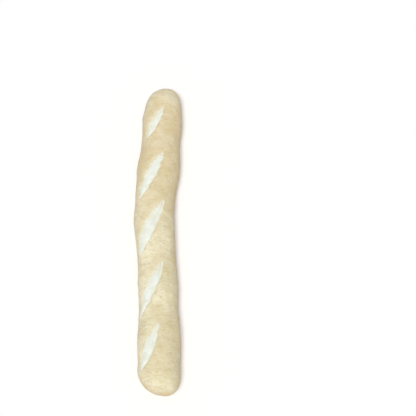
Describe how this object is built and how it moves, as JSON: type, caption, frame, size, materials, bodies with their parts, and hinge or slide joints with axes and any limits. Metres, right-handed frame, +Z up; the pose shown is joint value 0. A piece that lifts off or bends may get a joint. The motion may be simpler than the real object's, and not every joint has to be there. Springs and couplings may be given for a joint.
{
  "type": "baguette",
  "caption": "Long, slim par-baked loaf of white bread with blunt rounded ends, a slight sideways bow, a flat sole and slanting scores along its top.",
  "frame": {"origin": "under the middle of the loaf, on the surface that its flat sole rests on", "axes": "+Y along the loaf's length, +Z up through the scored crest, +X across the loaf, on the side that the loaf bows away from"},
  "size_m": [0.0842, 0.5612, 0.0566],
  "materials": {
    "crust": "matte, pale straw-coloured, dusted with flour, whiter in the scores"
  },
  "bodies": {
    "root": {"loaf": "crust"}
  },
  "joints": []
}
